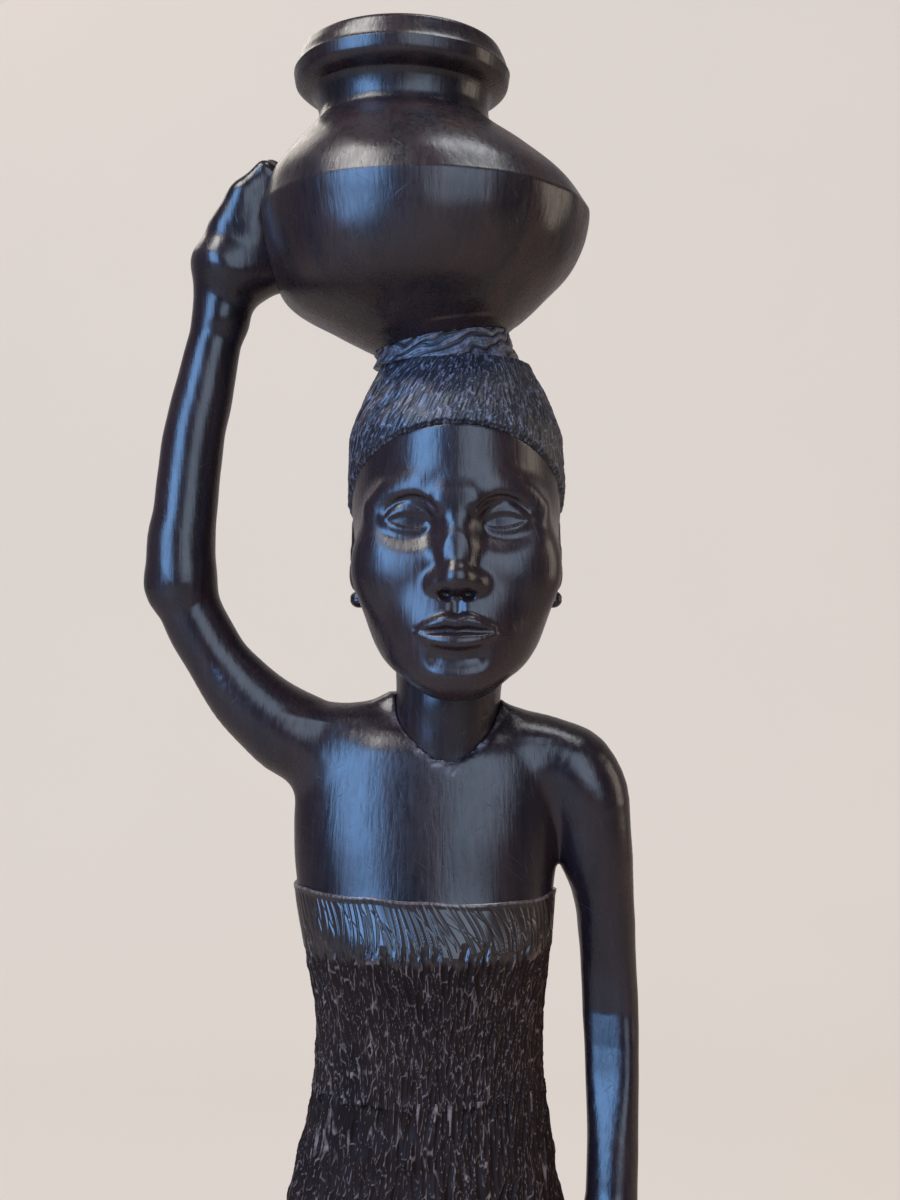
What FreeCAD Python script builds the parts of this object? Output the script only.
"""Standing woman who steadies a water pot on her head, carved from one block of dark hardwood.

The real carving is one block, so the nodes are its carved members: each is a closed solid that ends
on a carved line or seats in its neighbour, face to face, and nothing moves.

Frame: millimetres, +Z up, the origin at the centre of the plinth's underside. The figure looks
along -Y, so its own right side, with the raised arm, is at -X.
"""

import FreeCAD
import Part
import math
import os

Vector = FreeCAD.Vector

# ---------------------------------------------------------------- driving dimensions
PLINTH_RADIUS = 43.0
PLINTH_HEIGHT = 14.0
PLINTH_ROUND = 2.2          # rounded edge, above and below

ANKLE_HEIGHT = 9.0          # plinth to hem
FOOT_LENGTH = 33.0
FOOT_HALF_WIDTH = 6.8
FOOT_SPREAD = 9.2           # from the middle line to each foot's middle
HEEL_BACK = 9.0             # how far the heel lies behind the middle of the body

SKIRT_LENGTH = 178.0        # hem to waist line
HIP_DROP = 47.0             # waist line down to the widest part of the hips
HEM_HALF_WIDTH = 23.0
KNEE_HALF_WIDTH = 24.4
HIP_HALF_WIDTH = 29.6
WAIST_HALF_WIDTH = 22.4
HEM_DEPTH = 17.0            # middle to front, and middle to back
HIP_FRONT = 18.6
HIP_BACK = 22.0

BODICE_LENGTH = 38.5        # waist line to the cloth's top line
BUST_DROP = 14.0            # top line down to the fullest part of the bust
RIB_HALF_WIDTH = 21.8
BUST_FRONT = 17.2
CHEST_HALF_WIDTH = 24.9
TOP_LINE_SLOPE = 1.7        # degrees: the top line falls towards the hanging arm
SHOULDER_TILT = -3.6        # degrees: the raised arm lifts its own shoulder
WAIST_FRONT = 14.8
CHEST_BACK = 14.4

SHOULDER_RISE = 28.0        # top line to the top of the shoulders' level part
NECK_RISE = 9.0             # from there to where the shoulders end in the neck
NECK_HALF_WIDTH = 10.1
NECK_DEPTH = 10.4
NECK_X = 2.9                # the neck and head stand a little to the figure's left
NECK_SEAT = 6.0             # how deep the neck seats in the shoulders

HEAD_HEIGHT = 62.0          # chin to the flat that the carrying ring sits on
HEAD_HALF_WIDTH = 20.3
HEAD_FRONT = 24.0
HEAD_BACK = 25.0
HEAD_X = 5.1
CHIN_RISE = 2.0             # shoulders' end up to the chin
HAIR_PROUD = 0.7            # how far the hair stands out from the skull
HAIRLINE_DROP = 13.0        # head's top flat down to the hairline over the brow
HAIRLINE_SLOPE = 31.0       # degrees: the hairline falls towards the nape

EAR_HALF_HEIGHT = 8.3
EAR_THICKNESS = 2.6
EAR_HALF_DEPTH = 4.4
EAR_BACK = 3.5              # the ear's middle lies behind the middle of the head
EAR_RISE_SHARE = 0.42       # ear's middle, as a share of the head's height
EAR_OUT_SHARE = 0.925       # ear's middle, as a share of the head's half width
EARRING_RADIUS = 1.8

PAD_HEIGHT = 4.0            # carrying ring, at its middle
PAD_BOTTOM_HALF_WIDTH = 15.2
POT_BASE_RADIUS = 12.4
POT_BASE_X = 2.3
POT_BASE_TILT = 9.5         # degrees: the pot's foot is carved lower on the raised arm's side
POT_RADIUS = 31.9
POT_X = -1.0
POT_BELLY_RISE = 25.0       # foot to belly
POT_SHOULDER_RISE = 18.8    # belly to the neck's root
POT_NECK_RADIUS = 16.5
POT_NECK_WALL = 4.6
POT_NECK_HEIGHT = 6.0
POT_LIP_RADIUS = 21.0
POT_LIP_HEIGHT = 7.2
POT_LIP_X = -5.5
POT_MOUTH_RADIUS = 14.2
POT_MOUTH_DEPTH = 15.0

UPPER_ARM_HALF_WIDTH = 6.1
ELBOW_HALF_WIDTH = 7.4
FOREARM_HALF_WIDTH = 5.9
WRIST_HALF_WIDTH = 5.1
WRIST_CLEAR = 2.6           # raised wrist, clear of the belly's widest line
WRIST_DROP = 17.0           # belly's widest line down to the raised wrist
ELBOW_OUT = 50.5            # neck's middle line out to the raised elbow
ELBOW_RISE = 32.0           # shoulders' level up to the raised elbow
RAISED_HAND_HALF_BREADTH = 7.0
RAISED_HAND_LENGTH = 25.0

HANG_SHOULDER_OUT = 3.9     # chest's side out to the middle of the hanging arm's shoulder
HANG_SHOULDER_RISE = 2.6    # shoulders' level up to the top of the hanging arm
HANG_HALF_WIDTH = 7.7
HANG_ELBOW_OUT = 10.4       # chest's side out to the middle of the hanging elbow
HANG_ELBOW_HALF_WIDTH = 5.4
HANG_WRIST_HALF_WIDTH = 4.8
HANG_UPPER_LENGTH = 57.0    # shoulder top to elbow
HANG_FORE_LENGTH = 36.0     # elbow to wrist
HANG_HAND_LENGTH = 27.0

# ---------------------------------------------------------------- heights that follow
HEM_Z = PLINTH_HEIGHT + ANKLE_HEIGHT
WAIST_Z = HEM_Z + SKIRT_LENGTH
HIP_Z = WAIST_Z - HIP_DROP
TOP_LINE_Z = WAIST_Z + BODICE_LENGTH
BUST_Z = TOP_LINE_Z - BUST_DROP
SHOULDER_Z = TOP_LINE_Z + SHOULDER_RISE
NECK_ROOT_Z = SHOULDER_Z + NECK_RISE
CHIN_Z = NECK_ROOT_Z + CHIN_RISE
HEAD_TOP_Z = CHIN_Z + HEAD_HEIGHT
POT_BASE_Z = HEAD_TOP_Z + PAD_HEIGHT
BELLY_Z = POT_BASE_Z + POT_BELLY_RISE
POT_NECK_Z = BELLY_Z + POT_SHOULDER_RISE
LIP_Z = POT_NECK_Z + POT_NECK_HEIGHT
RIM_Z = LIP_Z + POT_LIP_HEIGHT
HANG_WRIST_Z = SHOULDER_Z + HANG_SHOULDER_RISE - HANG_UPPER_LENGTH - HANG_FORE_LENGTH

RING_POINTS = 16            # points that each ring's spline passes through
WORLD = 600.0               # edge of the blocks that stand for half-spaces


# ---------------------------------------------------------------- shared tools
def between(low, high, share):
    return low + (high - low) * share


def station(x, z, half_width, front, back=None, y=0.0, tilt=0.0):
    """One cross-section: its middle, its half width, its reach to front and back, and its tilt."""
    return (x, y, z, half_width, front, front if back is None else back, tilt)


def ring(x, y, z, half_width, front, back, side, depth):
    """A closed spline: an ellipse whose front half and back half may differ in depth."""
    points = []
    for k in range(RING_POINTS):
        angle = 2 * math.pi * k / RING_POINTS
        reach = front if math.sin(angle) > 0 else back
        offset = side * (half_width * math.cos(angle)) + depth * (reach * math.sin(angle))
        points.append(Vector(x, y, z) + offset)
    curve = Part.BSplineCurve()
    curve.interpolate(points, PeriodicFlag=True)
    return Part.Wire([curve.toShape()])


def slopes(marks, values):
    """Slopes of a smooth curve through the values that never overshoots them."""
    steps = [b - a for a, b in zip(marks, marks[1:])]
    rises = [(b - a) / h for a, b, h in zip(values, values[1:], steps)]
    inner = []
    for (left, right), (h0, h1) in zip(zip(rises, rises[1:]), zip(steps, steps[1:])):
        if left * right <= 0:
            inner.append(0.0)
        else:
            w0, w1 = 2 * h1 + h0, h1 + 2 * h0
            inner.append((w0 + w1) / (w0 / left + w1 / right))
    return [rises[0]] + inner + [rises[-1]]


def evenly_spaced(stations, spacing):
    """The stations sampled again at even steps of outline length, so that the loft stays fair."""
    marks = [0.0]
    for a, b in zip(stations, stations[1:]):
        marks.append(marks[-1] + math.dist(a[:4], b[:4]))
    count = max(5, round(marks[-1] / spacing))
    columns = list(zip(*stations))
    tangents = [slopes(marks, column) for column in columns]
    sampled = []
    for k in range(count + 1):
        mark = marks[-1] * k / count
        i = max(j for j in range(len(marks) - 1) if marks[j] <= mark)
        step = marks[i + 1] - marks[i]
        s = (mark - marks[i]) / step
        sampled.append(
            [
                (1 + 2 * s) * (1 - s) ** 2 * column[i]
                + s * (1 - s) ** 2 * step * tangent[i]
                + s * s * (3 - 2 * s) * column[i + 1]
                + s * s * (s - 1) * step * tangent[i + 1]
                for column, tangent in zip(columns, tangents)
            ]
        )
    return sampled


def stacked(stations, spacing):
    """A smooth solid through level rings; a tilt lowers a ring's -X side, in degrees."""
    rings = []
    for x, y, z, half_width, front, back, tilt in evenly_spaced(stations, spacing):
        turn = math.radians(tilt)
        side = Vector(math.cos(turn), 0, math.sin(turn))
        rings.append(ring(x, y, z, half_width, front, back, side, Vector(0, -1, 0)))
    return Part.makeLoft(rings, True, False, False)


def limb(stations, spacing):
    """A smooth solid along a path, each ring square to the path."""
    path = evenly_spaced(stations, spacing)
    last = len(path) - 1
    rings = []
    for k, (x, y, z, half_width, front, back, _) in enumerate(path):
        ahead, behind = path[min(k + 1, last)], path[max(k - 1, 0)]
        along = Vector(*ahead[:3]) - Vector(*behind[:3])
        side = Vector(0, 1, 0).cross(along)
        side.normalize()
        depth = side.cross(along)
        depth.normalize()
        rings.append(ring(x, y, z, half_width, front, back, side, depth))
    return Part.makeLoft(rings, True, False, False)


def block_above(z, slope_x=0.0, slope_y=0.0, through=Vector(0, 0, 0)):
    """A large block whose underside passes through a point at height z, sloping by degrees."""
    block = Part.makeBox(WORLD, WORLD, WORLD, Vector(-WORLD / 2, -WORLD / 2, 0))
    block.rotate(Vector(0, 0, 0), Vector(0, 1, 0), slope_x)
    block.rotate(Vector(0, 0, 0), Vector(1, 0, 0), -slope_y)
    block.translate(Vector(through.x, through.y, z))
    return block


def largest(shape):
    """The main solid of a cut, without crumbs."""
    return max(shape.Solids, key=lambda solid: solid.Volume)


# ---------------------------------------------------------------- plinth and feet
def plinth():
    disc = Part.makeCylinder(PLINTH_RADIUS, PLINTH_HEIGHT)
    rims = [edge for edge in disc.Edges if isinstance(edge.Curve, Part.Circle)]
    return disc.makeFillet(PLINTH_ROUND, rims)


def foot(side):
    """One bare foot: flat sole on the plinth, instep rising to an ankle that meets the hem."""
    x = side * FOOT_SPREAD
    wide = FOOT_HALF_WIDTH
    toe = FOOT_LENGTH - HEEL_BACK
    sole_z, top_z = PLINTH_HEIGHT, HEM_Z
    return stacked(
        [
            station(x, sole_z, wide * 0.96, toe, HEEL_BACK),
            station(x, between(sole_z, top_z, 0.28), wide, toe * 0.97, HEEL_BACK),
            station(x, between(sole_z, top_z, 0.52), wide * 0.90, toe * 0.66, HEEL_BACK * 0.97),
            station(x, between(sole_z, top_z, 0.76), wide * 0.80, toe * 0.38, HEEL_BACK * 0.90),
            station(x, top_z, wide * 0.78, toe * 0.32, HEEL_BACK * 0.86),
        ],
        spacing=1.6,
    )


# ---------------------------------------------------------------- body from hem to shoulders
def trunk():
    """Skirt, bodice and shoulders as one smooth body, cut into its members afterwards."""
    knee_z = between(HEM_Z, HIP_Z, 0.40)
    thigh_z = between(HEM_Z, HIP_Z, 0.74)
    rib_z = between(WAIST_Z, BUST_Z, 0.48)
    armpit_z = between(TOP_LINE_Z, SHOULDER_Z, 0.45)
    thigh_wide = between(KNEE_HALF_WIDTH, HIP_HALF_WIDTH, 0.68)
    flank_wide = between(WAIST_HALF_WIDTH, HIP_HALF_WIDTH, 0.60)
    bust_wide = between(RIB_HALF_WIDTH, CHEST_HALF_WIDTH, 0.50)
    chest_wide, lift = CHEST_HALF_WIDTH, SHOULDER_TILT
    front, back = WAIST_FRONT, CHEST_BACK
    wide, deep = NECK_HALF_WIDTH + 0.9, NECK_DEPTH
    slope_z = between(SHOULDER_Z, NECK_ROOT_Z, 0.66)
    return stacked(
        [
            station(-0.5, HEM_Z, HEM_HALF_WIDTH, HEM_DEPTH),
            station(-0.5, knee_z, KNEE_HALF_WIDTH, HEM_DEPTH + 0.6, HEM_DEPTH - 0.4),
            station(-0.7, thigh_z, thigh_wide, HIP_FRONT, HIP_BACK * 0.90),
            station(-0.9, HIP_Z, HIP_HALF_WIDTH, HIP_FRONT, HIP_BACK),
            station(-1.0, HIP_Z + HIP_DROP * 0.52, flank_wide, HIP_FRONT * 0.92, HIP_BACK * 0.87),
            station(-0.2, WAIST_Z, WAIST_HALF_WIDTH, front, back),
            station(-0.1, rib_z, RIB_HALF_WIDTH, front, back - 0.6),
            station(-0.3, BUST_Z, bust_wide, BUST_FRONT, back - 0.4),
            station(-0.9, TOP_LINE_Z, chest_wide, BUST_FRONT - 1.8, back),
            station(-0.5, armpit_z, chest_wide + 1.0, front - 0.4, back + 0.4),
            station(0.6, SHOULDER_Z - 3.5, chest_wide + 0.6, front - 2.8, back, tilt=lift),
            station(1.6, SHOULDER_Z + 2.2, chest_wide - 2.2, deep - 1.8, deep + 2.6, tilt=lift),
            station(NECK_X - 0.6, slope_z, wide + 4.4, deep - 3.9, deep + 1.4, tilt=lift),
            station(NECK_X, NECK_ROOT_Z, wide, deep - 5.4, deep + 1.0),
        ],
        spacing=6.0,
    )


def neck():
    """A column that seats in the shoulders and runs up under the jaw."""
    wide, deep = NECK_HALF_WIDTH, NECK_DEPTH
    return stacked(
        [
            station(NECK_X, SHOULDER_Z - NECK_SEAT, wide, deep),
            station(NECK_X, SHOULDER_Z + 2.0, wide, deep, y=0.3),
            station(between(NECK_X, HEAD_X, 0.3), NECK_ROOT_Z, wide, deep, y=1.2),
            station(between(NECK_X, HEAD_X, 0.7), CHIN_Z + 8.0, wide + 0.6, deep + 0.4, y=2.6),
            station(HEAD_X, CHIN_Z + 18.0, wide + 0.6, deep + 0.4, y=3.2),
        ],
        spacing=5.0,
    )


# ---------------------------------------------------------------- head
def skull(proud):
    """The head as a smooth oval body; proud lets the hair use the same body, a little larger."""
    profile = [
        # rise share from chin to top flat, half-width share, front share, back share
        (0.000, 0.36, 0.93, -0.38),
        (0.055, 0.58, 0.985, -0.10),
        (0.145, 0.77, 1.00, 0.30),
        (0.275, 0.89, 0.99, 0.70),
        (0.425, 0.965, 0.98, 0.92),
        (0.600, 1.00, 0.975, 1.00),
        (0.760, 0.985, 0.93, 0.985),
        (0.890, 0.850, 0.78, 0.84),
        (1.000, 0.670, 0.55, 0.60),
    ]
    stations = []
    for rise, wide, ahead, behind in profile:
        front = HEAD_FRONT * ahead + proud
        back = HEAD_BACK * behind + proud
        deep = (back + front) / 2
        z = CHIN_Z + HEAD_HEIGHT * rise
        half_width = HEAD_HALF_WIDTH * wide + proud
        stations.append(station(HEAD_X, z, half_width, deep, y=(back - front) / 2))
    return stacked(stations, spacing=4.0)


def hairline_block():
    """Everything above the hairline's sloping plane."""
    brow = Vector(HEAD_X, -HEAD_FRONT, 0)
    return block_above(HEAD_TOP_Z - HAIRLINE_DROP, slope_y=HAIRLINE_SLOPE, through=brow)


def ear_place(side):
    """The middle of an ear, on the side of the head."""
    x = HEAD_X + side * HEAD_HALF_WIDTH * EAR_OUT_SHARE
    return Vector(x, EAR_BACK, CHIN_Z + HEAD_HEIGHT * EAR_RISE_SHARE)


def oval(middle, half_width, half_depth, half_height, spacing):
    """A rounded body with small flats at its top and bottom."""
    steepest = math.radians(72)
    stations = []
    for step in range(9):
        lean = steepest * (step / 4 - 1)
        share = math.cos(lean)
        z = middle.z + half_height * math.sin(lean) / math.sin(steepest)
        stations.append(station(middle.x, z, half_width * share, half_depth * share, y=middle.y))
    return stacked(stations, spacing)


def ear(side):
    """A flat oval ear, before the head is cut out of it."""
    return oval(ear_place(side), EAR_THICKNESS, EAR_HALF_DEPTH, EAR_HALF_HEIGHT, spacing=2.0)


def earring(side):
    """A round bead under the ear's lobe."""
    middle, radius = ear_place(side), EARRING_RADIUS
    lobe = middle + Vector(side * radius * 0.2, 0, -EAR_HALF_HEIGHT - radius * 0.55)
    return oval(lobe, radius, radius, radius, spacing=0.9)


# ---------------------------------------------------------------- pot and its carrying ring
def pot_seat_block():
    """Everything above the sloping plane that the pot's foot stands on."""
    return block_above(POT_BASE_Z, slope_x=-POT_BASE_TILT, through=Vector(POT_BASE_X, 0, 0))


def carrying_ring():
    """The coiled pad between the hair and the pot's foot; its top follows the pot's sloping foot."""
    spare = POT_BASE_RADIUS * math.tan(math.radians(POT_BASE_TILT)) + 1.0
    wide, narrow = PAD_BOTTOM_HALF_WIDTH, POT_BASE_RADIUS
    top_z = HEAD_TOP_Z + PAD_HEIGHT
    waist_z = between(HEAD_TOP_Z, top_z, 0.45)
    body = stacked(
        [
            station(between(POT_BASE_X, HEAD_X, 0.5), HEAD_TOP_Z, wide - 0.9, wide - 1.6),
            station(between(POT_BASE_X, HEAD_X, 0.4), waist_z, wide - 1.2, wide - 1.6),
            station(POT_BASE_X, top_z, narrow + 0.5, narrow),
            station(POT_BASE_X, top_z + spare, narrow, narrow - 0.3),
        ],
        spacing=1.5,
    )
    return largest(body.cut(pot_seat_block()))


def pot_body():
    """The pot's outside, from its sloping foot to its rim."""
    def part_way(share, z, radius, tilt=0.0):
        """A round ring whose middle lies a share of the way from the belly's middle to the lip's."""
        return station(between(POT_X, POT_LIP_X, share), z, radius, radius, tilt=tilt)

    belly, rise, tilt = POT_RADIUS, POT_BELLY_RISE, POT_BASE_TILT
    neck_wide, lip_wide = POT_NECK_RADIUS, POT_LIP_RADIUS
    foot_share = (POT_BASE_X - POT_X) / (POT_LIP_X - POT_X)
    return stacked(
        [
            part_way(foot_share, POT_BASE_Z, POT_BASE_RADIUS, tilt),
            part_way(foot_share * 0.75, POT_BASE_Z + rise * 0.20, belly * 0.62, tilt * 0.90),
            part_way(foot_share * 0.15, POT_BASE_Z + rise * 0.48, belly * 0.887, tilt * 0.63),
            part_way(foot_share * 0.05, POT_BASE_Z + rise * 0.74, belly * 0.975, tilt * 0.30),
            part_way(0.0, BELLY_Z, belly),
            part_way(0.22, BELLY_Z + POT_SHOULDER_RISE * 0.25, between(neck_wide, belly, 0.87)),
            part_way(0.55, BELLY_Z + POT_SHOULDER_RISE * 0.60, between(neck_wide, belly, 0.50)),
            part_way(0.80, BELLY_Z + POT_SHOULDER_RISE * 0.88, between(neck_wide, belly, 0.16)),
            part_way(0.90, POT_NECK_Z, neck_wide),
            part_way(0.96, between(POT_NECK_Z, LIP_Z, 0.45), between(neck_wide, lip_wide, 0.20)),
            part_way(1.0, LIP_Z, between(neck_wide, lip_wide, 0.62)),
            part_way(1.0, LIP_Z + POT_LIP_HEIGHT * 0.40, lip_wide),
            part_way(1.0, RIM_Z - 1.2, lip_wide - 1.1),
            part_way(1.0, RIM_Z, lip_wide - 2.2),
        ],
        spacing=2.4,
    )


def pot():
    """Round-bellied water pot with a short neck, a rolled lip and a shallow hollow mouth."""
    floor_z = RIM_Z - POT_MOUTH_DEPTH
    throat = POT_NECK_RADIUS - POT_NECK_WALL
    above = 2.0                 # the hollow runs this far past the rim
    hollow = stacked(
        [
            station(POT_LIP_X, floor_z, throat - 3.0, throat - 3.0),
            station(POT_LIP_X, floor_z + 2.0, throat, throat),
            station(POT_LIP_X, LIP_Z, throat, throat),
            station(POT_LIP_X, RIM_Z, POT_MOUTH_RADIUS, POT_MOUTH_RADIUS),
            station(POT_LIP_X, RIM_Z + above, POT_MOUTH_RADIUS + 1.4, POT_MOUTH_RADIUS + 1.4),
        ],
        spacing=2.0,
    )
    return largest(pot_body().cut(hollow))


# ---------------------------------------------------------------- arms
def elbow_point():
    return Vector(NECK_X - ELBOW_OUT, -3.0, SHOULDER_Z + ELBOW_RISE)


def wrist_point():
    """The wrist stands just outside the pot's belly, a little below its widest part."""
    x = POT_X - POT_RADIUS - WRIST_HALF_WIDTH - WRIST_CLEAR
    return Vector(x, -0.5, BELLY_Z - WRIST_DROP)


def at(point, half_width, half_depth):
    """A station of a limb."""
    return station(point.x, point.z, half_width, half_depth, y=point.y)


def raised_limb():
    """Arm and hand that steady the pot, from inside the shoulder to the fingertips."""
    elbow, wrist = elbow_point(), wrist_point()
    root = Vector(-CHEST_HALF_WIDTH + 6.8, 0.5, SHOULDER_Z - 4.5)
    joint = Vector(-CHEST_HALF_WIDTH - 3.6, -0.5, SHOULDER_Z + 2.4)
    fore = wrist - elbow
    bow = Vector(-1.6, 0, 0)                   # both bones bow outwards between their ends
    sag = Vector(-1.1, 0, -1.2)
    upper, fore_wide, elbow_wide = UPPER_ARM_HALF_WIDTH, FOREARM_HALF_WIDTH, ELBOW_HALF_WIDTH
    thin, broad, lift = WRIST_HALF_WIDTH, RAISED_HAND_HALF_BREADTH, RAISED_HAND_LENGTH
    return limb(
        [
            at(root, upper + 3.0, upper + 3.2),
            at(joint, upper + 1.6, upper + 1.6),
            at(between(joint, elbow, 0.42) + sag, upper, upper + 0.2),
            at(between(joint, elbow, 0.74) + sag, upper - 0.3, upper),
            at(elbow, elbow_wide, elbow_wide - 1.1),
            at(elbow + fore * 0.13 + bow * 0.3, elbow_wide - 0.9, fore_wide + 0.2),
            at(elbow + fore * 0.36 + bow, fore_wide, fore_wide),
            at(elbow + fore * 0.66 + bow * 0.8, fore_wide - 0.2, fore_wide - 0.3),
            at(elbow + fore * 0.88 + bow * 0.2, thin, thin - 0.1),
            at(wrist, thin, thin),
            at(wrist + Vector(0.4, 0, lift * 0.22), thin + 0.7, broad * 0.88),
            at(wrist + Vector(1.5, 0, lift * 0.44), thin + 0.4, broad),
            at(wrist + Vector(4.6, 0, lift * 0.72), thin * 0.72, broad),
            at(wrist + Vector(8.6, 0, lift * 0.98), thin * 0.42, broad * 0.80),
        ],
        spacing=4.0,
    )


def hanging_limb():
    """Arm and hand that hang at the figure's left side, from the shoulder to the fingertips."""
    top_z = SHOULDER_Z + HANG_SHOULDER_RISE
    elbow_z = top_z - HANG_UPPER_LENGTH
    wrist_z, tip_z = HANG_WRIST_Z, HANG_WRIST_Z - HANG_HAND_LENGTH
    out, wide = CHEST_HALF_WIDTH + HANG_SHOULDER_OUT, HANG_HALF_WIDTH
    elbow_out, elbow_wide = CHEST_HALF_WIDTH + HANG_ELBOW_OUT, HANG_ELBOW_HALF_WIDTH
    biceps_out, biceps_z = between(out, elbow_out, 0.80), between(top_z, elbow_z, 0.66)
    wrist_out, thin = elbow_out - 0.9, HANG_WRIST_HALF_WIDTH
    tip_out = HIP_HALF_WIDTH - 0.2             # the fingers lie against the hip

    def hand(share, half_width, half_depth, y):
        """A station that lies a share of the way from the wrist to the fingertips."""
        x = between(wrist_out, tip_out, share)
        return station(x, between(wrist_z, tip_z, share), thin * half_width, thin * half_depth, y=y)

    return stacked(
        [
            station(out - 1.2, top_z, wide * 0.20, wide * 0.30, y=0.5),
            station(out - 0.6, top_z - 2.2, wide * 0.54, wide * 0.70, y=0.5),
            station(out + 0.1, top_z - 5.6, wide * 0.80, wide * 0.98, y=0.5),
            station(out + 1.3, top_z - 11.0, wide * 0.97, wide * 1.08, y=0.4),
            station(out + 2.2, top_z - 17.5, wide, wide * 1.05, y=0.4),
            station(out + 3.4, top_z - 26.0, wide * 0.92, wide * 0.98, y=0.3),
            station(biceps_out, biceps_z, wide * 0.73, wide * 0.86, y=0.4),
            station(elbow_out, elbow_z, elbow_wide, elbow_wide + 0.7, y=1.0),
            station(elbow_out + 0.1, between(elbow_z, wrist_z, 0.4), elbow_wide - 0.3, elbow_wide),
            hand(0.0, 1.0, 1.0, -1.6),
            hand(0.28, 0.92, 1.45, -2.4),
            hand(0.56, 0.84, 1.45, -3.2),
            hand(0.86, 0.68, 1.10, -3.8),
            hand(1.0, 0.42, 0.70, -4.0),
        ],
        spacing=4.0,
    )


# ---------------------------------------------------------------- assembly
def build():
    """Every member of the figure, by the name of its node."""
    nodes = {}
    nodes["plinth"] = plinth()
    nodes["right_foot"] = foot(-1)
    nodes["left_foot"] = foot(1)

    body = trunk()
    above_waist = block_above(WAIST_Z)
    above_top_line = block_above(TOP_LINE_Z, slope_x=TOP_LINE_SLOPE)
    shoulders = largest(body.common(above_top_line))
    column = neck()
    nodes["skirt"] = largest(body.cut(above_waist))
    nodes["bodice"] = largest(body.common(above_waist).cut(above_top_line))
    nodes["shoulders"] = largest(shoulders.cut(column))

    above_hairline = hairline_block()
    head = largest(skull(0.0).cut(above_hairline))
    hair = largest(skull(HAIR_PROUD).common(above_hairline))
    nodes["head"] = head
    nodes["hair"] = hair
    nodes["neck"] = largest(column.cut(head))
    for name, side in (("right", -1), ("left", 1)):
        lobe = largest(ear(side).cut(head).cut(hair))
        nodes[name + "_ear"] = lobe
        nodes[name + "_earring"] = largest(earring(side).cut(head).cut(lobe))

    nodes["carrying_ring"] = carrying_ring()
    nodes["pot"] = pot()

    above_wrist = block_above(wrist_point().z)
    raised = raised_limb().cut(pot_body())
    nodes["raised_arm"] = largest(raised.cut(above_wrist).cut(shoulders))
    nodes["raised_hand"] = largest(raised.common(above_wrist))
    above_hand = block_above(HANG_WRIST_Z)
    hanging = hanging_limb().cut(body)
    nodes["hanging_arm"] = largest(hanging.common(above_hand))
    nodes["hanging_hand"] = largest(hanging.cut(above_hand))
    return nodes


def main():
    os.makedirs("parts", exist_ok=True)
    for name, solid in build().items():
        if not solid.isValid() or solid.Volume <= 0:
            raise ValueError(f"{name} is not a closed solid")
        solid.exportStep(os.path.join("parts", name + ".step"))
        print(f"{name:14s} {solid.Volume:10.0f} mm3")


if __name__ == "__main__":
    main()
